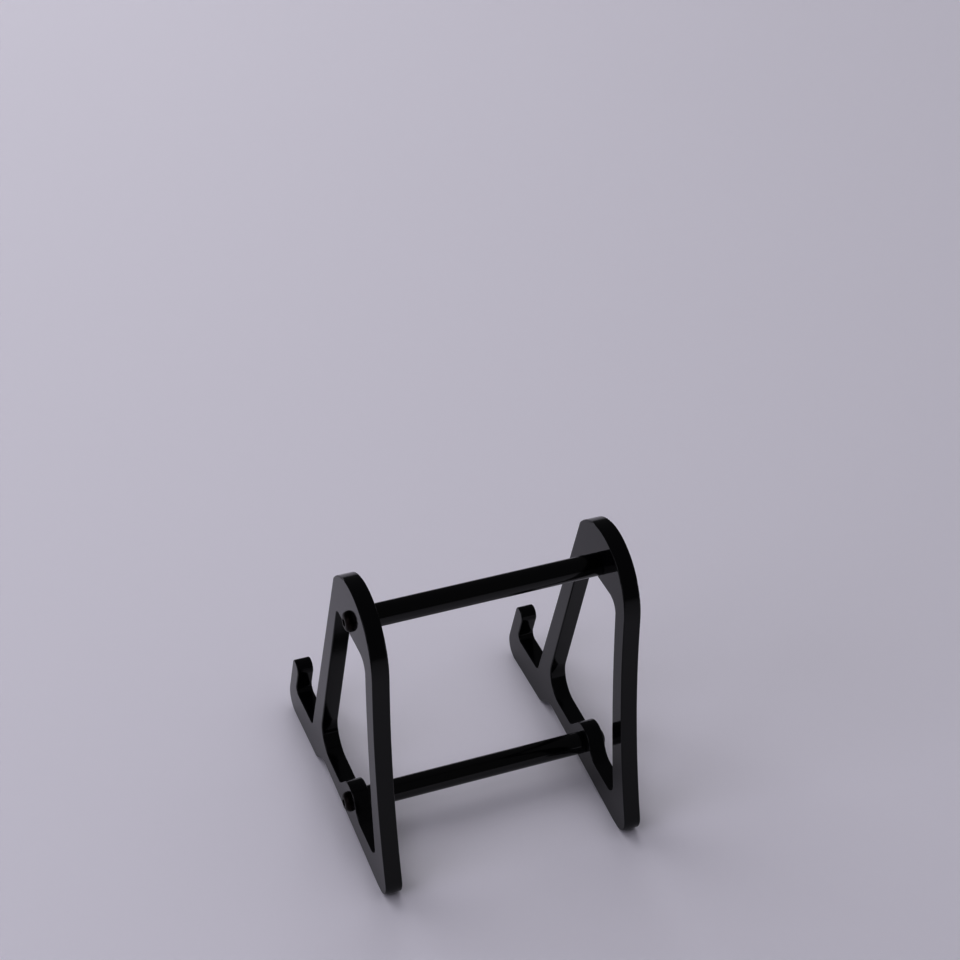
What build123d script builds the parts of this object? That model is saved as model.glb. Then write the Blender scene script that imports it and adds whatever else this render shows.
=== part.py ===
from build123d import *
import os
from math import cos, radians, sin, sqrt, tan

# Desk stand for a tablet. Two flat side frames stand on edge, a hand's width apart, and two round cross
# rods hold them square. A screw through each frame goes into the tapped end of each rod.
#
# Millimetres. +X runs along the rods, to the right of a person who looks at the tablet's screen.
# The screen faces -Y, the rear legs stand at +Y, and +Z is up. The origin is on the desk, in the middle
# of the stand's box.

# ---- Side frame ----
stand_height = 89.8         # desk to the top of the crown
frame_thickness = 4.8       # the flat sheet the frames are cut from
lean_angle = 19.7           # how far the tablet leans back from upright, in degrees
edge_round = 0.35           # every edge of the sheet is eased by this much

slot_width = 15.0           # room for the tablet, square to its back
ledge_height = 10.3         # desk to the floor of the slot
lip_height = 8.6            # straight front wall of the slot, along the lean
lip_thickness = 5.0
strut_foot_width = 6.8      # the strut that the tablet's back rests on, at the bottom bar
strut_top_width = 5.1       # the same strut, at the top of the window
crown_radius = 17.7         # round top, from the strut over to the rear leg
crown_setback = 16.6        # the crown's centre, square to the tablet's back
crown_land = 15.7           # top of the crown down to the window
leg_top_width = 6.0         # rear leg, where it leaves the crown
leg_foot_width = 8.0        # rear leg, where it meets the sill
leg_bow_top = 66.0          # the rear leg's back is upright above this height, and bows out below it
foot_flare = 9.2            # how far it bows out, down at the desk
sill_front_height = 10.7    # top of the bottom bar, behind the slot
sill_rear_height = 8.4      # top of the bottom bar, at the rear leg
arch_height = 5.0           # the bottom bar's relief above the desk, at its front end
front_pad_end = 3.0         # the flat front foot ends this far behind the slot
arch_run = 7.0              # length of the slope from the front foot up into the relief
heel_length = 9.0           # flat rear foot, before its end is rounded

slot_corner_radius = 1.8
crown_corner_radius = 1.2   # where the strut's front edge meets the crown
toe_radius = 5.0
heel_radius = 5.0
arch_corner_radius = 4.0
window_front_radius = 7.0
window_rear_radius = 3.0
window_top_front_radius = 2.0
window_top_rear_radius = 4.0

# ---- Cross rods ----
rod_diameter = 6.35
rod_length = 65.8           # the clear gap between the frames
rod_chamfer = 0.3
upper_rod_drop = 10.9       # top of the crown down to the upper rod
lower_rod_setback = 34.2    # slot to the lower rod
lower_rod_height = 10.0
boss_radius = 5.8           # round swelling of the bottom bar that carries the lower screw
boss_ramp_angle = 45.0      # straight front flank of the boss, in degrees
boss_ramp_blend = 2.0
boss_rear_blend = 5.0

# ---- Button-head screws, metric M3 with a 2 mm hexagon socket ----
thread_diameter = 3.0
thread_clearance = 0.04     # radial, between the screw and the tapped hole
screw_hole_clearance = 0.2  # radial, between the screw and the hole in the frame
thread_engagement = 6.7     # length of screw inside the rod
tap_runout = 2.5            # tapped hole past the screw's tip
screw_tip_chamfer = 0.4
head_diameter = 5.7
head_height = 1.65
head_rim = 0.35             # straight edge under the dome
head_flat_diameter = 2.9
socket_across_flats = 2.0
socket_depth = 1.04

# ---- Lines and centres that the sizes above fix ----
# In a frame's own drawing x is the depth, counted from the rear bottom corner of the slot, and y the height.
lean = radians(lean_angle)
up_the_lean = (sin(lean), cos(lean))


def lean_line(height, offset):
    """The point at this height on the line that lies this far behind the tablet's back, square to it."""
    return ((height - ledge_height) * tan(lean) + offset / cos(lean), height)


def along_lean(start, distance):
    """The point this far up the lean from start."""
    return (start[0] + distance * sin(lean), start[1] + distance * cos(lean))


crown_centre = lean_line(stand_height - crown_radius, crown_setback)
crown_half_chord = sqrt(crown_radius**2 - crown_setback**2)
crown_front = along_lean(
    (crown_centre[0] - crown_setback * cos(lean), crown_centre[1] + crown_setback * sin(lean)),
    crown_half_chord,
)
crown_top = (crown_centre[0], stand_height)
crown_rear = (crown_centre[0] + crown_radius, crown_centre[1])
heel = (crown_rear[0] + foot_flare, 0)
leg_bow_start = (crown_rear[0], leg_bow_top)
leg_bow_radius = (foot_flare**2 + leg_bow_top**2) / (2 * foot_flare)


def leg_back(height):
    """Depth of the rear leg's bowed back edge at this height."""
    return crown_rear[0] + leg_bow_radius - sqrt(leg_bow_radius**2 - (leg_bow_top - height) ** 2)


slot_rear = lean_line(ledge_height, 0)
slot_front = lean_line(ledge_height, -slot_width)
lip_inner_top = along_lean(slot_front, lip_height)
lip_outer_top = (lip_inner_top[0] - lip_thickness * cos(lean), lip_inner_top[1] + lip_thickness * sin(lean))
toe = lean_line(0, -slot_width - lip_thickness)
front_pad_rear = (front_pad_end, 0)
arch_front = (front_pad_end + arch_run, arch_height)
heel_front = (heel[0] - heel_length, 0)

window_height = stand_height - crown_land
window_front = lean_line(sill_front_height, strut_foot_width)
window_top_front = lean_line(window_height, strut_top_width)
window_top_rear = (crown_rear[0] - leg_top_width, window_height)
window_rear = (leg_back(sill_rear_height) - leg_foot_width, sill_rear_height)

upper_rod_place = (crown_centre[0], stand_height - upper_rod_drop)
lower_rod_place = (lower_rod_setback, lower_rod_height)

boss_ramp = radians(boss_ramp_angle)
boss_ramp_top = (lower_rod_setback - boss_radius * sin(boss_ramp), lower_rod_height + boss_radius * cos(boss_ramp))
boss_ramp_foot = (boss_ramp_top[0] - boss_ramp_top[1] / tan(boss_ramp), 0)
boss_ramp_meets_sill = (boss_ramp_foot[0] + sill_front_height / tan(boss_ramp), sill_front_height)
boss_rear_meets_sill = (lower_rod_setback + boss_radius, sill_rear_height)
screw_hole_radius = thread_diameter / 2 + screw_hole_clearance


def round_corner(sketch, corner, radius):
    """Rounds the corner of a drawing that lies nearest to this point."""
    fillet(sketch.vertices().sort_by_distance(corner)[0], radius)


# The side frame's outline: a slot for the tablet in front, a leaning strut, a round crown, a bowed rear leg
# and a bottom bar that touches the desk only at its two ends. A window takes out the middle.
with BuildSketch() as frame_outline:
    with BuildLine():
        Line(slot_rear, crown_front)
        ThreePointArc(crown_front, crown_top, crown_rear)
        Line(crown_rear, leg_bow_start)
        TangentArc(leg_bow_start, heel, tangent=(0, -1))
        Polyline(heel, heel_front, arch_front, front_pad_rear, toe, lip_outer_top)
        TangentArc(lip_outer_top, lip_inner_top, tangent=up_the_lean)
        Polyline(lip_inner_top, slot_front, slot_rear)
    make_face()
    round_corner(frame_outline, slot_rear, slot_corner_radius)
    round_corner(frame_outline, slot_front, slot_corner_radius)
    round_corner(frame_outline, toe, toe_radius)
    round_corner(frame_outline, crown_front, crown_corner_radius)
    round_corner(frame_outline, heel, heel_radius)
    round_corner(frame_outline, arch_front, arch_corner_radius)
    round_corner(frame_outline, front_pad_rear, arch_corner_radius)

with BuildSketch() as frame_window:
    with BuildLine():
        Polyline(window_rear, window_front, window_top_front, window_top_rear)
        TangentArc(window_top_rear, window_rear, tangent=(0, -1))
    make_face()
    round_corner(frame_window, window_front, window_front_radius)
    round_corner(frame_window, window_top_front, window_top_front_radius)
    round_corner(frame_window, window_top_rear, window_top_rear_radius)
    round_corner(frame_window, window_rear, window_rear_radius)
    with Locations(lower_rod_place):
        Circle(boss_radius, mode=Mode.SUBTRACT)
    with BuildLine():
        Polyline(lower_rod_place, boss_ramp_top, boss_ramp_foot, (lower_rod_setback, 0), close=True)
    make_face(mode=Mode.SUBTRACT)
    round_corner(frame_window, boss_ramp_meets_sill, boss_ramp_blend)
    round_corner(frame_window, boss_rear_meets_sill, boss_rear_blend)

outline_box = frame_outline.sketch.bounding_box()
middle_depth = (outline_box.min.X + outline_box.max.X) / 2


def in_stand(place):
    """A point of the frame's drawing as the depth and height it has in the stand."""
    return (place[0] - middle_depth, place[1])


rod_places = {"upper": in_stand(upper_rod_place), "lower": in_stand(lower_rod_place)}
sides = {"left": -1, "right": 1}

os.makedirs("parts", exist_ok=True)

# ---- Side frames ----
for side_name, side in sides.items():
    inner_face = Plane(
        origin=(side * rod_length / 2, -middle_depth, 0), x_dir=(0, 1, 0), z_dir=(1, 0, 0)
    )
    with BuildPart() as side_frame:
        with BuildSketch(inner_face):
            add(frame_outline.sketch)
            add(frame_window.sketch, mode=Mode.SUBTRACT)
        extrude(amount=side * frame_thickness)
        fillet(side_frame.faces().filter_by(Axis.X).edges(), edge_round)
        with BuildSketch(inner_face):
            with Locations(upper_rod_place, lower_rod_place):
                Circle(screw_hole_radius)
        extrude(amount=side * frame_thickness, mode=Mode.SUBTRACT)
    side_frame.part.label = f"{side_name}_side_frame"
    export_step(side_frame.part, f"parts/{side_name}_side_frame.step")

# ---- Cross rods ----
rod_radius = rod_diameter / 2
rod_end = rod_length / 2
tap_radius = thread_diameter / 2 + thread_clearance
tap_bottom = rod_end - thread_engagement - tap_runout
drill_point = tap_bottom - tap_radius * tan(radians(31))    # 118 degree drill

for rod_name, (depth, height) in rod_places.items():
    rod_plane = Plane(origin=(0, depth, height), x_dir=(1, 0, 0), z_dir=(0, -1, 0))
    with BuildPart() as cross_rod:
        with BuildSketch(rod_plane):
            with BuildLine():
                half_section = Polyline(
                    (0, rod_radius),
                    (rod_end - rod_chamfer, rod_radius),
                    (rod_end, rod_radius - rod_chamfer),
                    (rod_end, tap_radius),
                    (tap_bottom, tap_radius),
                    (drill_point, 0),
                    (0, 0),
                )
                mirror(half_section, about=Plane.YZ)
            make_face()
        revolve(axis=Axis((0, depth, height), (1, 0, 0)))
    cross_rod.part.label = f"{rod_name}_cross_rod"
    export_step(cross_rod.part, f"parts/{rod_name}_cross_rod.step")

# ---- Screws ----
outer_face = rod_length / 2 + frame_thickness
screw_length = frame_thickness + thread_engagement
thread_radius = thread_diameter / 2
head_radius = head_diameter / 2
head_flat_radius = head_flat_diameter / 2

for rod_name, (depth, height) in rod_places.items():
    for side_name, side in sides.items():
        seat = (side * outer_face, depth, height)
        section_plane = Plane(origin=seat, x_dir=(0, 0, 1), z_dir=(0, side, 0))
        head_top = Plane(
            origin=(side * (outer_face + head_height), depth, height), x_dir=(0, 1, 0), z_dir=(side, 0, 0)
        )
        with BuildPart() as screw:
            with BuildSketch(section_plane):
                with BuildLine():
                    Polyline(
                        (0, head_height),
                        (0, -screw_length),
                        (thread_radius - screw_tip_chamfer, -screw_length),
                        (thread_radius, screw_tip_chamfer - screw_length),
                        (thread_radius, 0),
                        (head_radius, 0),
                        (head_radius, head_rim),
                    )
                    TangentArc((head_flat_radius, head_height), (head_radius, head_rim), tangent=(1, 0))
                    Line((head_flat_radius, head_height), (0, head_height))
                make_face()
            revolve(axis=Axis(seat, (side, 0, 0)))
            with BuildSketch(head_top):
                RegularPolygon(socket_across_flats / 2, 6, major_radius=False)
            extrude(amount=-socket_depth, mode=Mode.SUBTRACT)
        screw.part.label = f"{rod_name}_{side_name}_screw"
        export_step(screw.part, f"parts/{rod_name}_{side_name}_screw.step")
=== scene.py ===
"""Looks for the tablet stand: glossy black sheet frames, drawn black rods, button-head screws and
a pale stage."""

import math

import bmesh
import bpy
from mathutils import Matrix, Vector


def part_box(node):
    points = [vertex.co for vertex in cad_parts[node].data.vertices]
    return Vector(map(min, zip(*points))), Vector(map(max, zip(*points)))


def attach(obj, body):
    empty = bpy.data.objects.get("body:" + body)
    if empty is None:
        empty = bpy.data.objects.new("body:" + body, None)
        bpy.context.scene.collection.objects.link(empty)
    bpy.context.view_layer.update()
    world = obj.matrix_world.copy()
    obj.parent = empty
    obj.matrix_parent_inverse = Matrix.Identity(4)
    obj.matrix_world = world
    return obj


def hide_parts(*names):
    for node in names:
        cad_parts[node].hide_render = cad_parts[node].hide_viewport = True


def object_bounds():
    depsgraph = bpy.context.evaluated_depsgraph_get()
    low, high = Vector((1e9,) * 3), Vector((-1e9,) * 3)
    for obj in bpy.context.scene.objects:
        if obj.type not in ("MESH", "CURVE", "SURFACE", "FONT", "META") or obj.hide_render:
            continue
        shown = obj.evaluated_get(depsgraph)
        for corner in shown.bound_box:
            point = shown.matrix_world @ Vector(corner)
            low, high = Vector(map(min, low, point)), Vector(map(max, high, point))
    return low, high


bl_info = {
    "name": "Tablet Stand Finishes",
    "version": (1, 0, 0),
    "blender": (4, 5, 0),
    "location": "3D View > Sidebar > Tablet Stand",
    "description": "Gives the tablet stand its sheet, rods, screws, materials and stage",
    "category": "Object",
}

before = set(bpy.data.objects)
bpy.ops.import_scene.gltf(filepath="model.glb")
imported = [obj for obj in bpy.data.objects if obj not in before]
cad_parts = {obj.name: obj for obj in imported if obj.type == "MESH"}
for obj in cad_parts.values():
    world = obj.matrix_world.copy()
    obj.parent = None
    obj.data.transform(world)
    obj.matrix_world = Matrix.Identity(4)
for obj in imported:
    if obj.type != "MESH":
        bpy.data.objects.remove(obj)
cad_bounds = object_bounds()

MM = 0.001
SIDES = {"left": -1, "right": 1}
LEVELS = ("upper", "lower")

# Points closer than this are one point, and edges that turn by more than this stay crisp.
MERGE_DISTANCE = 0.001 * MM
CRISP_ANGLE = math.radians(28)


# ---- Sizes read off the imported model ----
def node_size(node):
    """Lengths of a node's box along X, Y and Z."""
    low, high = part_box(node)
    return high - low


def node_centre(node):
    """Middle of a node's box."""
    low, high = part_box(node)
    return (low + high) / 2


def outer_face():
    """Distance from the middle of the stand to the outside of a side frame."""
    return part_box("right_side_frame")[1].x


rod_size = node_size("upper_cross_rod")
screw_size = node_size("upper_right_screw")
screw_head_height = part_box("upper_right_screw")[1].x - outer_face()


# ---- Colours, nodes and pieces ----
def colour(hex_code):
    """An sRGB hex colour as linear red, green, blue and alpha."""
    channels = [int(hex_code[i : i + 2], 16) / 255 for i in (1, 3, 5)]
    linear = [c / 12.92 if c <= 0.04045 else ((c + 0.055) / 1.055) ** 2.4 for c in channels]
    return (*linear, 1.0)


def add_node(material, kind, inputs=None, **settings):
    """Adds a node with these settings. An input that is a socket is linked, any other is set."""
    tree = material.node_tree
    node = tree.nodes.new(kind)
    for name, value in settings.items():
        setattr(node, name, value)
    for name, value in (inputs or {}).items():
        if isinstance(value, bpy.types.NodeSocket):
            tree.links.new(value, node.inputs[name])
        else:
            node.inputs[name].default_value = value
    return node


def new_material(name):
    """An empty node material and its output node."""
    material = bpy.data.materials.new(name)
    material.use_nodes = True
    material.node_tree.nodes.clear()
    return material, add_node(material, "ShaderNodeOutputMaterial")


def wear(piece, material):
    """Puts one material on a whole object."""
    piece.data.materials.clear()
    piece.data.materials.append(material)


def finish_piece(name, shape, material, node):
    """Turns a bmesh into a piece that stands for a CAD node."""
    bmesh.ops.remove_doubles(shape, verts=shape.verts, dist=MERGE_DISTANCE)
    bmesh.ops.recalc_face_normals(shape, faces=shape.faces)
    mesh = bpy.data.meshes.new(name)
    shape.to_mesh(mesh)
    shape.free()
    mesh.shade_smooth()
    mesh.set_sharp_from_angle(angle=CRISP_ANGLE)
    piece = bpy.data.objects.new(name, mesh)
    bpy.context.scene.collection.objects.link(piece)
    wear(piece, material)
    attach(piece, "root")
    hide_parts(node)


# ---- Materials ----
def cast_acrylic(settings):
    """Black cast acrylic sheet, laser cut. Its faces are mirror smooth under faint handling marks.
    The cut edges are melted glossy too, but carry fine ridges straight across the sheet's
    thickness."""
    smudge_size, smudge_haze = 22 * MM, 0.09
    scratch_spacing, ridge_spacing = 0.4 * MM, 0.35 * MM
    scratch_strength, ridge_strength = 0.015, 0.16

    material, output = new_material("cast_acrylic_laser_cut_black")
    place = add_node(material, "ShaderNodeTexCoord")
    normal = add_node(material, "ShaderNodeSeparateXYZ", {"Vector": place.outputs["Normal"]})
    facing_x = add_node(
        material, "ShaderNodeMath", {0: normal.outputs["X"]}, operation="ABSOLUTE"
    )
    # 1 on the sheet's two faces, 0 on its cut edges, with a short change over the eased corner.
    on_face = add_node(
        material,
        "ShaderNodeMapRange",
        {"Value": facing_x.outputs[0], "From Min": 0.80, "From Max": 0.98},
    )

    smudges = add_node(
        material,
        "ShaderNodeTexNoise",
        {
            "Vector": place.outputs["Object"],
            "Scale": 1 / smudge_size,
            "Detail": 5.0,
            "Roughness": 0.62,
        },
    )
    face_roughness = add_node(
        material,
        "ShaderNodeMapRange",
        {
            "Value": smudges.outputs["Fac"],
            "From Min": 0.42,
            "From Max": 0.72,
            "To Min": settings.face_roughness,
            "To Max": settings.face_roughness + smudge_haze,
        },
    )
    # Rubbed-in scratches, drawn out 15 times along one slanting direction.
    along_rub = add_node(
        material,
        "ShaderNodeMapping",
        {
            "Vector": place.outputs["Object"],
            "Rotation": (0.6, 0.0, 0.0),
            "Scale": (1.0, 1.0, 0.065),
        },
    )
    scratches = add_node(
        material,
        "ShaderNodeTexNoise",
        {"Vector": along_rub.outputs["Vector"], "Scale": 1 / scratch_spacing, "Detail": 3.0},
    )
    # Cutting ridges hardly change across the sheet's thickness, which is X.
    across_sheet = add_node(
        material,
        "ShaderNodeMapping",
        {"Vector": place.outputs["Object"], "Scale": (0.03, 1.0, 1.0)},
    )
    ridges = add_node(
        material,
        "ShaderNodeTexNoise",
        {"Vector": across_sheet.outputs["Vector"], "Scale": 1 / ridge_spacing, "Detail": 2.0},
    )
    relief = add_node(
        material,
        "ShaderNodeMix",
        {
            "Factor": on_face.outputs["Result"],
            "A": ridges.outputs["Fac"],
            "B": scratches.outputs["Fac"],
        },
        data_type="FLOAT",
    )
    relief_depth = add_node(
        material,
        "ShaderNodeMapRange",
        {
            "Value": on_face.outputs["Result"],
            "To Min": ridge_strength,
            "To Max": scratch_strength,
        },
    )
    bump = add_node(
        material,
        "ShaderNodeBump",
        {
            "Height": relief.outputs["Result"],
            "Strength": relief_depth.outputs["Result"],
            "Distance": 0.02 * MM,
        },
    )
    roughness = add_node(
        material,
        "ShaderNodeMix",
        {
            "Factor": on_face.outputs["Result"],
            "A": settings.edge_roughness,
            "B": face_roughness.outputs["Result"],
        },
        data_type="FLOAT",
    )
    shader = add_node(
        material,
        "ShaderNodeBsdfPrincipled",
        {
            "Base Color": (*settings.colour, 1.0),
            "Roughness": roughness.outputs["Result"],
            "IOR": 1.49,
            "Normal": bump.outputs["Normal"],
        },
    )
    material.node_tree.links.new(shader.outputs["BSDF"], output.inputs["Surface"])
    return material


def anodised_rod(settings):
    """Drawn aluminium rod, anodised black. The dyed oxide skin shines like dark glass, softened by
    hair-fine lines that the drawing die leaves along the rod."""
    # Die lines are about 0.02 mm apart. They are drawn coarser, so that they show.
    line_spacing = 0.15 * MM
    handling_size, handling_haze = 9 * MM, 0.07

    material, output = new_material("anodised_aluminium_drawn_black")
    place = add_node(material, "ShaderNodeTexCoord")
    along_rod = add_node(
        material,
        "ShaderNodeMapping",
        {"Vector": place.outputs["Object"], "Scale": (0.01, 1.0, 1.0)},
    )
    die_lines = add_node(
        material,
        "ShaderNodeTexNoise",
        {"Vector": along_rod.outputs["Vector"], "Scale": 1 / line_spacing, "Detail": 2.0},
    )
    handling = add_node(
        material,
        "ShaderNodeTexNoise",
        {"Vector": place.outputs["Object"], "Scale": 1 / handling_size, "Detail": 4.0},
    )
    roughness = add_node(
        material,
        "ShaderNodeMapRange",
        {
            "Value": handling.outputs["Fac"],
            "From Min": 0.35,
            "From Max": 0.70,
            "To Min": settings.roughness,
            "To Max": settings.roughness + handling_haze,
        },
    )
    bump = add_node(
        material,
        "ShaderNodeBump",
        {"Height": die_lines.outputs["Fac"], "Strength": 0.06, "Distance": 0.01 * MM},
    )
    shader = add_node(
        material,
        "ShaderNodeBsdfPrincipled",
        {
            "Base Color": (*settings.colour, 1.0),
            "Roughness": roughness.outputs["Result"],
            "IOR": 1.6,
            "Normal": bump.outputs["Normal"],
        },
    )
    material.node_tree.links.new(shader.outputs["BSDF"], output.inputs["Surface"])
    return material


def black_oxide_steel(settings):
    """Cold-headed steel with a black oxide finish. It is satin and slightly mottled, and it is
    rubbed towards bare steel on the crown of the head, where the key turns."""
    grain_size = 0.25 * MM
    crown = outer_face() + screw_head_height
    rubbed_depth = 0.35 * MM
    bare_steel = colour("#5A5754")

    material, output = new_material("steel_black_oxide")
    place = add_node(material, "ShaderNodeTexCoord")
    grain = add_node(
        material,
        "ShaderNodeTexNoise",
        {
            "Vector": place.outputs["Object"],
            "Scale": 1 / grain_size,
            "Detail": 4.0,
            "Roughness": 0.6,
        },
    )
    position = add_node(material, "ShaderNodeSeparateXYZ", {"Vector": place.outputs["Object"]})
    outwards = add_node(
        material, "ShaderNodeMath", {0: position.outputs["X"]}, operation="ABSOLUTE"
    )
    rubbed = add_node(
        material,
        "ShaderNodeMapRange",
        {
            "Value": outwards.outputs[0],
            "From Min": crown - rubbed_depth,
            "From Max": crown,
            "To Max": 0.7,
        },
    )
    patchy = add_node(
        material,
        "ShaderNodeMath",
        {0: rubbed.outputs["Result"], 1: grain.outputs["Fac"]},
        operation="MULTIPLY",
    )
    tone = add_node(
        material,
        "ShaderNodeMix",
        {"Factor": patchy.outputs[0], "A": (*settings.colour, 1.0), "B": bare_steel},
        data_type="RGBA",
    )
    roughness = add_node(
        material,
        "ShaderNodeMapRange",
        {
            "Value": grain.outputs["Fac"],
            "From Min": 0.3,
            "From Max": 0.7,
            "To Min": settings.roughness - 0.06,
            "To Max": settings.roughness + 0.08,
        },
    )
    bump = add_node(
        material,
        "ShaderNodeBump",
        {"Height": grain.outputs["Fac"], "Strength": 0.15, "Distance": 0.01 * MM},
    )
    shader = add_node(
        material,
        "ShaderNodeBsdfPrincipled",
        {
            "Base Color": tone.outputs["Result"],
            "Metallic": 1.0,
            "Roughness": roughness.outputs["Result"],
            "Normal": bump.outputs["Normal"],
        },
    )
    material.node_tree.links.new(shader.outputs["BSDF"], output.inputs["Surface"])
    return material


def painted_board(settings):
    """Pale painted board for the stage: matt, with a barely seen unevenness in its paint."""
    patches_per_metre = 6.0

    material, output = new_material("painted_board_pale")
    place = add_node(material, "ShaderNodeTexCoord")
    patches = add_node(
        material,
        "ShaderNodeTexNoise",
        {"Vector": place.outputs["Object"], "Scale": patches_per_metre, "Detail": 2.0},
    )
    roughness = add_node(
        material,
        "ShaderNodeMapRange",
        {"Value": patches.outputs["Fac"], "To Min": 0.50, "To Max": 0.60},
    )
    shader = add_node(
        material,
        "ShaderNodeBsdfPrincipled",
        {
            "Base Color": (*settings.floor_colour, 1.0),
            "Roughness": roughness.outputs["Result"],
            "IOR": 1.4,
        },
    )
    material.node_tree.links.new(shader.outputs["BSDF"], output.inputs["Surface"])
    return material


# ---- What a user would change ----
class TABLETSTAND_PG_sheet(bpy.types.PropertyGroup):
    """Finish of the side frames' sheet"""

    colour: bpy.props.FloatVectorProperty(
        name="Colour", description="Colour of the sheet",
        subtype="COLOR", size=3, min=0, max=1, default=colour("#08080B")[:3],
    )
    face_roughness: bpy.props.FloatProperty(
        name="Face roughness", description="Roughness of the sheet's clean faces",
        subtype="FACTOR", min=0, max=1, default=0.05,
    )
    edge_roughness: bpy.props.FloatProperty(
        name="Edge roughness", description="Roughness of the cut edges",
        subtype="FACTOR", min=0, max=1, default=0.13,
    )


class TABLETSTAND_PG_rod(bpy.types.PropertyGroup):
    """Sizes and finish of the cross rods"""

    diameter: bpy.props.FloatProperty(
        name="Diameter", description="Outside diameter of a cross rod",
        unit="LENGTH", default=max(rod_size.y, rod_size.z),
    )
    length: bpy.props.FloatProperty(
        name="Length", description="Length of a cross rod",
        unit="LENGTH", default=rod_size.x,
    )
    end_round: bpy.props.FloatProperty(
        name="End rounding", description="Radius on the rod's turned ends",
        unit="LENGTH", default=0.3 * MM,
    )
    tap_diameter: bpy.props.FloatProperty(
        name="Tapped hole", description="Diameter of the tapped hole in each end",
        unit="LENGTH", default=3.08 * MM,
    )
    tap_depth: bpy.props.FloatProperty(
        name="Hole depth", description="Depth of the tapped hole, up to its drill point",
        unit="LENGTH", default=9.2 * MM,
    )
    colour: bpy.props.FloatVectorProperty(
        name="Colour", description="Colour of the dyed oxide skin",
        subtype="COLOR", size=3, min=0, max=1, default=colour("#060608")[:3],
    )
    roughness: bpy.props.FloatProperty(
        name="Roughness", description="Roughness of the rod",
        subtype="FACTOR", min=0, max=1, default=0.09,
    )


class TABLETSTAND_PG_screw(bpy.types.PropertyGroup):
    """Sizes and finish of the button-head screws"""

    head_diameter: bpy.props.FloatProperty(
        name="Head diameter", description="Diameter of the button head",
        unit="LENGTH", default=max(screw_size.y, screw_size.z),
    )
    head_height: bpy.props.FloatProperty(
        name="Head height", description="Height of the button head",
        unit="LENGTH", default=screw_head_height,
    )
    head_rim: bpy.props.FloatProperty(
        name="Rim height", description="Straight edge under the dome",
        unit="LENGTH", default=0.35 * MM,
    )
    head_flat_diameter: bpy.props.FloatProperty(
        name="Flat diameter", description="Diameter of the flat on top of the dome",
        unit="LENGTH", default=2.9 * MM,
    )
    socket_across_flats: bpy.props.FloatProperty(
        name="Socket", description="Hexagon socket across its flats",
        unit="LENGTH", default=2.0 * MM,
    )
    socket_depth: bpy.props.FloatProperty(
        name="Socket depth", description="Depth of the hexagon socket",
        unit="LENGTH", default=1.04 * MM,
    )
    thread_diameter: bpy.props.FloatProperty(
        name="Thread diameter", description="Outside diameter of the thread",
        unit="LENGTH", default=3.0 * MM,
    )
    length: bpy.props.FloatProperty(
        name="Length", description="Length of the screw under its head",
        unit="LENGTH", default=screw_size.x - screw_head_height,
    )
    colour: bpy.props.FloatVectorProperty(
        name="Colour", description="Colour of the black oxide",
        subtype="COLOR", size=3, min=0, max=1, default=colour("#221C1C")[:3],
    )
    roughness: bpy.props.FloatProperty(
        name="Roughness", description="Roughness of the black oxide",
        subtype="FACTOR", min=0, max=1, default=0.36,
    )


class TABLETSTAND_PG_stage(bpy.types.PropertyGroup):
    """Floor, lights and camera"""

    floor_colour: bpy.props.FloatVectorProperty(
        name="Floor", description="Colour of the floor",
        subtype="COLOR", size=3, min=0, max=1, default=colour("#E0DDE7")[:3],
    )
    key_power: bpy.props.FloatProperty(
        name="Key light", description="Power of the large soft light in front of the stand",
        unit="POWER", default=10.0,
    )
    ceiling_power: bpy.props.FloatProperty(
        name="Ceiling light", description="Power of the wide soft light above the stand",
        unit="POWER", default=205.0,
    )
    fill_power: bpy.props.FloatProperty(
        name="Fill light", description="Power of the soft light at the stand's side",
        unit="POWER", default=3.5,
    )
    surroundings: bpy.props.FloatProperty(
        name="Surroundings", description="Brightness of the room around the stand",
        subtype="FACTOR", min=0, max=1, default=0.10,
    )
    lens: bpy.props.FloatProperty(
        name="Lens", description="Focal length, on a 36 mm wide sensor",
        unit="CAMERA", default=86.4,
    )
    camera_place: bpy.props.FloatVectorProperty(
        name="Camera", description="Where the camera stands",
        subtype="TRANSLATION", unit="LENGTH", size=3, default=(0.1763, 0.4650, 0.4576),
    )
    camera_aim: bpy.props.FloatVectorProperty(
        name="Aim", description="The point in the middle of the view",
        subtype="TRANSLATION", unit="LENGTH", size=3, default=(-0.0365, -0.0791, 0.0402),
    )
    camera_roll: bpy.props.FloatProperty(
        name="Roll", description="How far the camera is turned about its own line of sight",
        subtype="ANGLE", unit="ROTATION", default=math.radians(0.61),
    )


class TABLETSTAND_PG_settings(bpy.types.PropertyGroup):
    """Everything that a user would change"""

    sheet: bpy.props.PointerProperty(type=TABLETSTAND_PG_sheet)
    rod: bpy.props.PointerProperty(type=TABLETSTAND_PG_rod)
    screw: bpy.props.PointerProperty(type=TABLETSTAND_PG_screw)
    stage: bpy.props.PointerProperty(type=TABLETSTAND_PG_stage)


# ---- Side frames ----
class TABLETSTAND_OT_side_frames(bpy.types.Operator):
    """Give both side frames their black acrylic"""

    bl_idname = "tablet_stand.side_frames"
    bl_label = "Side Frames"

    def execute(self, context):
        material = cast_acrylic(context.scene.tablet_stand.sheet)
        for side in SIDES:
            wear(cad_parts[f"{side}_side_frame"], material)
        return {"FINISHED"}


# ---- Turned pieces ----
def turn_about_x(shape, steps):
    """Spins the section drawn in a bmesh once round X."""
    bmesh.ops.spin(
        shape, geom=shape.verts[:] + shape.edges[:], cent=(0, 0, 0), axis=(1, 0, 0),
        angle=math.tau, steps=steps, use_merge=True,
    )


def draw_section(shape, points):
    """Draws the points of a section, each a place along X and a radius, and joins them in order."""
    section = [shape.verts.new((x, 0.0, radius)) for x, radius in points]
    for pair in zip(section, section[1:]):
        shape.edges.new(pair)
    return section


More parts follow.
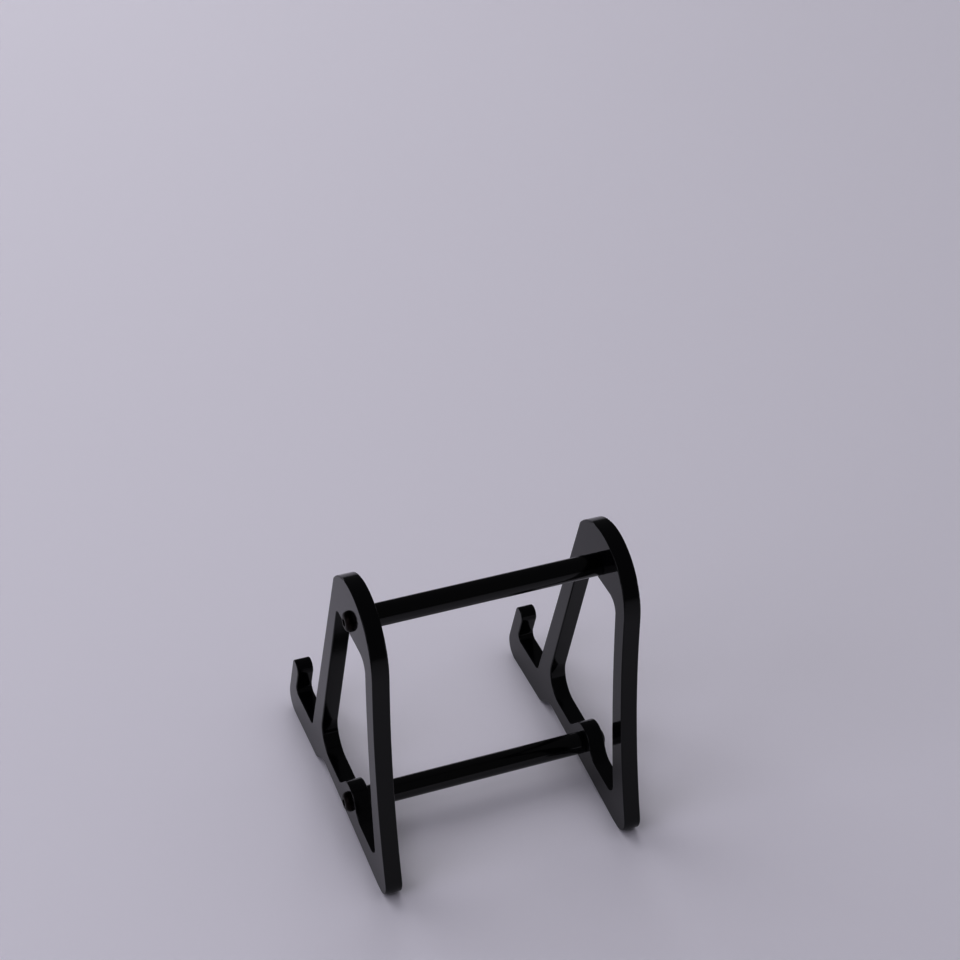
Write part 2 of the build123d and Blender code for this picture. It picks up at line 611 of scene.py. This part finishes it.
def round_corners(shape, corners, radius, segments):
    """Rounds these points of a section."""
    bmesh.ops.bevel(
        shape, geom=corners, offset=radius, segments=segments, profile=0.5,
        affect="VERTICES", material=-1,
    )


# ---- Cross rods ----
ROD_STEPS = 96
# A drill whose point measures 118 degrees leaves a cone that leans by this much.
DRILL_POINT_LEAN = math.radians(31)


def rod_shape(centre, sizes):
    """A rod along X with rounded ends and a drilled hole in each end, turned from half of its
    section."""
    radius, half_length = sizes.diameter / 2, sizes.length / 2
    hole_radius = sizes.tap_diameter / 2
    hole_end = half_length - sizes.tap_depth
    drill_tip = hole_end - hole_radius * math.tan(DRILL_POINT_LEAN)
    right_half = [
        (half_length, radius),
        (half_length, hole_radius),
        (hole_end, hole_radius),
        (drill_tip, 0.0),
    ]
    left_half = [(-x, r) for x, r in reversed(right_half)]

    shape = bmesh.new()
    section = draw_section(shape, left_half + right_half)
    outer_corners = section[len(left_half) - 1 : len(left_half) + 1]
    round_corners(shape, outer_corners, sizes.end_round, 4)
    turn_about_x(shape, ROD_STEPS)
    bmesh.ops.translate(shape, verts=shape.verts, vec=centre)
    return shape


class TABLETSTAND_OT_cross_rods(bpy.types.Operator):
    """Turn the two cross rods and anodise them black"""

    bl_idname = "tablet_stand.cross_rods"
    bl_label = "Cross Rods"

    def execute(self, context):
        sizes = context.scene.tablet_stand.rod
        material = anodised_rod(sizes)
        for level in LEVELS:
            node = f"{level}_cross_rod"
            shape = rod_shape(node_centre(node), sizes)
            finish_piece(f"{level}_drawn_rod", shape, material, node)
        return {"FINISHED"}


# ---- Screws ----
SCREW_STEPS = 72
DOME_STEPS = 10
HEXAGON = 6
HEAD_EDGE_ROUND = 0.08 * MM
TIP_CHAMFER = 0.4 * MM
# How far the socket's floor dips towards its middle.
SOCKET_FLOOR_DIP = 0.12 * MM


def screw_profile(sizes):
    """The screw's half section, from the rim of the flat on its head to its tip, and which of the
    points is the head's edge."""
    head_radius, flat_radius = sizes.head_diameter / 2, sizes.head_flat_diameter / 2
    thread_radius = sizes.thread_diameter / 2
    rise = sizes.head_height - sizes.head_rim
    run = head_radius - flat_radius
    dome_radius = (rise**2 + run**2) / (2 * rise)
    sweep = math.asin(run / dome_radius)
    angles = [sweep * i / DOME_STEPS for i in range(DOME_STEPS + 1)]
    dome = [
        (
            sizes.head_height - dome_radius * (1 - math.cos(angle)),
            flat_radius + dome_radius * math.sin(angle),
        )
        for angle in angles
    ]
    points = [
        *dome,
        (0.0, head_radius),
        (0.0, thread_radius),
        (TIP_CHAMFER - sizes.length, thread_radius),
        (-sizes.length, thread_radius - TIP_CHAMFER),
        (-sizes.length, 0.0),
    ]
    return points, len(dome)


def sink_socket(shape, rim, sizes):
    """Closes the head inside the rim of its flat with a hexagon socket that has a pointed floor."""
    corner_radius = sizes.socket_across_flats / 2 / math.cos(math.radians(30))
    bmesh.ops.create_circle(
        shape, segments=HEXAGON, radius=corner_radius,
        matrix=Matrix.Translation((sizes.head_height, 0, 0))
        @ Matrix.Rotation(math.radians(90), 4, "Y"),
    )
    # The hexagon gets as many points as the flat's rim, so that the two bridge without slivers.
    hexagon = [e for e in shape.edges if e.is_wire]
    bmesh.ops.subdivide_edges(shape, edges=hexagon, cuts=SCREW_STEPS // HEXAGON - 1)
    hexagon = [e for e in shape.edges if e.is_wire]
    bmesh.ops.bridge_loops(shape, edges=rim + hexagon)

    walls = bmesh.ops.extrude_edge_only(shape, edges=hexagon)["geom"]
    bottom = [v for v in walls if isinstance(v, bmesh.types.BMVert)]
    bmesh.ops.translate(shape, verts=bottom, vec=(-sizes.socket_depth, 0, 0))
    floor_edges = [e for e in walls if isinstance(e, bmesh.types.BMEdge)]
    cone = bmesh.ops.extrude_edge_only(shape, edges=floor_edges)["geom"]
    point = [v for v in cone if isinstance(v, bmesh.types.BMVert)]
    deepest = sizes.head_height - sizes.socket_depth - SOCKET_FLOOR_DIP
    bmesh.ops.pointmerge(shape, verts=point, merge_co=(deepest, 0, 0))


def screw_shape(seat, side, sizes):
    """A button-head screw whose head sits on the outside of a side frame, with its shank towards
    the middle."""
    shape = bmesh.new()
    points, head_edge = screw_profile(sizes)
    section = draw_section(shape, points)
    round_corners(shape, [section[head_edge]], HEAD_EDGE_ROUND, 2)
    turn_about_x(shape, SCREW_STEPS)
    # The points on the axis are merged first, so that the flat's rim is the only open edge.
    bmesh.ops.remove_doubles(shape, verts=shape.verts, dist=MERGE_DISTANCE)
    rim = [e for e in shape.edges if e.is_boundary]
    sink_socket(shape, rim, sizes)
    if side < 0:
        bmesh.ops.scale(shape, vec=(-1, 1, 1), verts=shape.verts)
    bmesh.ops.translate(shape, verts=shape.verts, vec=seat)
    return shape


class TABLETSTAND_OT_screws(bpy.types.Operator):
    """Make the four button-head screws in black oxide steel"""

    bl_idname = "tablet_stand.screws"
    bl_label = "Screws"

    def execute(self, context):
        sizes = context.scene.tablet_stand.screw
        material = black_oxide_steel(sizes)
        for level in LEVELS:
            for name, side in SIDES.items():
                node = f"{level}_{name}_screw"
                seat = node_centre(f"{level}_cross_rod")
                seat.x = side * outer_face()
                shape = screw_shape(seat, side, sizes)
                finish_piece(
                    f"{level}_{name}_button_screw", shape, material, node
                )
        return {"FINISHED"}


# ---- Stage ----
# The floor runs this far each way, so that its rim stays out of low views.
FLOOR_REACH = 6.0
# Where each light hangs, and the side of its square.
KEY_PLACE, KEY_SIDE = (0.2, -1.0, 0.95), 1.6
CEILING_PLACE, CEILING_SIDE = (0.0, 0.0, 3.5), 12.0
FILL_PLACE, FILL_SIDE = (1.1, 0.3, 0.7), 0.8
# Below 1, it deepens the black pieces and the shadows.
VIEW_GAMMA = 0.72


def lay_floor(stage):
    """The board that the stand is on."""
    board = bmesh.new()
    bmesh.ops.create_grid(board, x_segments=1, y_segments=1, size=FLOOR_REACH)
    mesh = bpy.data.meshes.new("floor")
    board.to_mesh(mesh)
    board.free()
    floor = bpy.data.objects.new("floor", mesh)
    bpy.context.scene.collection.objects.link(floor)
    wear(floor, painted_board(stage))


def add_light(name, place, side, power, tint, shines):
    """A square soft light aimed at the stand. Where shines is off, no glossy surface mirrors it."""
    lamp = bpy.data.lights.new(name, "AREA")
    lamp.shape = "SQUARE"
    lamp.size = side
    lamp.energy = power
    lamp.color = colour(tint)[:3]
    light = bpy.data.objects.new(name, lamp)
    middle = (cad_bounds[0] + cad_bounds[1]) / 2
    light.location = place
    light.rotation_euler = (middle - Vector(place)).to_track_quat("-Z", "Y").to_euler()
    light.visible_glossy = shines
    bpy.context.scene.collection.objects.link(light)


def light_room(stage):
    """Faint even light from all round."""
    world = bpy.data.worlds.new("studio")
    world.use_nodes = True
    background = world.node_tree.nodes["Background"]
    background.inputs["Color"].default_value = colour("#F3F2FA")
    background.inputs["Strength"].default_value = stage.surroundings
    bpy.context.scene.world = world


def place_camera(stage):
    """The camera, aimed and then rolled about its line of sight."""
    lens = bpy.data.cameras.new("camera")
    lens.lens = stage.lens
    lens.sensor_width = 36.0
    lens.clip_start = 0.01
    camera = bpy.data.objects.new("camera", lens)
    place, aim = Vector(stage.camera_place), Vector(stage.camera_aim)
    turn = (aim - place).to_track_quat("-Z", "Y").to_matrix()
    camera.location = place
    camera.rotation_euler = (turn @ Matrix.Rotation(stage.camera_roll, 3, "Z")).to_euler()
    bpy.context.scene.collection.objects.link(camera)
    bpy.context.scene.camera = camera


class TABLETSTAND_OT_stage(bpy.types.Operator):
    """Lay the floor and set up the lights and the camera"""

    bl_idname = "tablet_stand.stage"
    bl_label = "Stage"

    def execute(self, context):
        stage = context.scene.tablet_stand.stage
        lay_floor(stage)
        add_light("key", KEY_PLACE, KEY_SIDE, stage.key_power, "#FFFFFF", False)
        add_light("ceiling", CEILING_PLACE, CEILING_SIDE, stage.ceiling_power, "#FFFFFF", False)
        add_light("fill", FILL_PLACE, FILL_SIDE, stage.fill_power, "#F4F2FF", True)
        light_room(stage)
        context.scene.view_settings.view_transform = "Standard"
        context.scene.view_settings.gamma = VIEW_GAMMA
        place_camera(stage)
        return {"FINISHED"}


# ---- Sidebar ----
class TABLETSTAND_PT_panel(bpy.types.Panel):
    """Lists the operators, each with its settings"""

    bl_idname = "TABLETSTAND_PT_panel"
    bl_label = "Tablet Stand"
    bl_space_type = "VIEW_3D"
    bl_region_type = "UI"
    bl_category = "Tablet Stand"

    def draw(self, context):
        settings = context.scene.tablet_stand
        for operator, group in (
            (TABLETSTAND_OT_side_frames, settings.sheet),
            (TABLETSTAND_OT_cross_rods, settings.rod),
            (TABLETSTAND_OT_screws, settings.screw),
            (TABLETSTAND_OT_stage, settings.stage),
        ):
            box = self.layout.box()
            box.operator(operator.bl_idname)
            for name in group.bl_rna.properties.keys():
                if name not in {"name", "rna_type"}:
                    box.prop(group, name)


CLASSES = (
    TABLETSTAND_PG_sheet,
    TABLETSTAND_PG_rod,
    TABLETSTAND_PG_screw,
    TABLETSTAND_PG_stage,
    TABLETSTAND_PG_settings,
    TABLETSTAND_OT_side_frames,
    TABLETSTAND_OT_cross_rods,
    TABLETSTAND_OT_screws,
    TABLETSTAND_OT_stage,
    TABLETSTAND_PT_panel,
)


def register():
    for item in CLASSES:
        bpy.utils.register_class(item)
    bpy.types.Scene.tablet_stand = bpy.props.PointerProperty(type=TABLETSTAND_PG_settings)


def unregister():
    del bpy.types.Scene.tablet_stand
    for item in reversed(CLASSES):
        bpy.utils.unregister_class(item)


def main():
    register()
    bpy.ops.tablet_stand.side_frames()
    bpy.ops.tablet_stand.cross_rods()
    bpy.ops.tablet_stand.screws()
    bpy.ops.tablet_stand.stage()


if __name__ == "__main__":
    main()
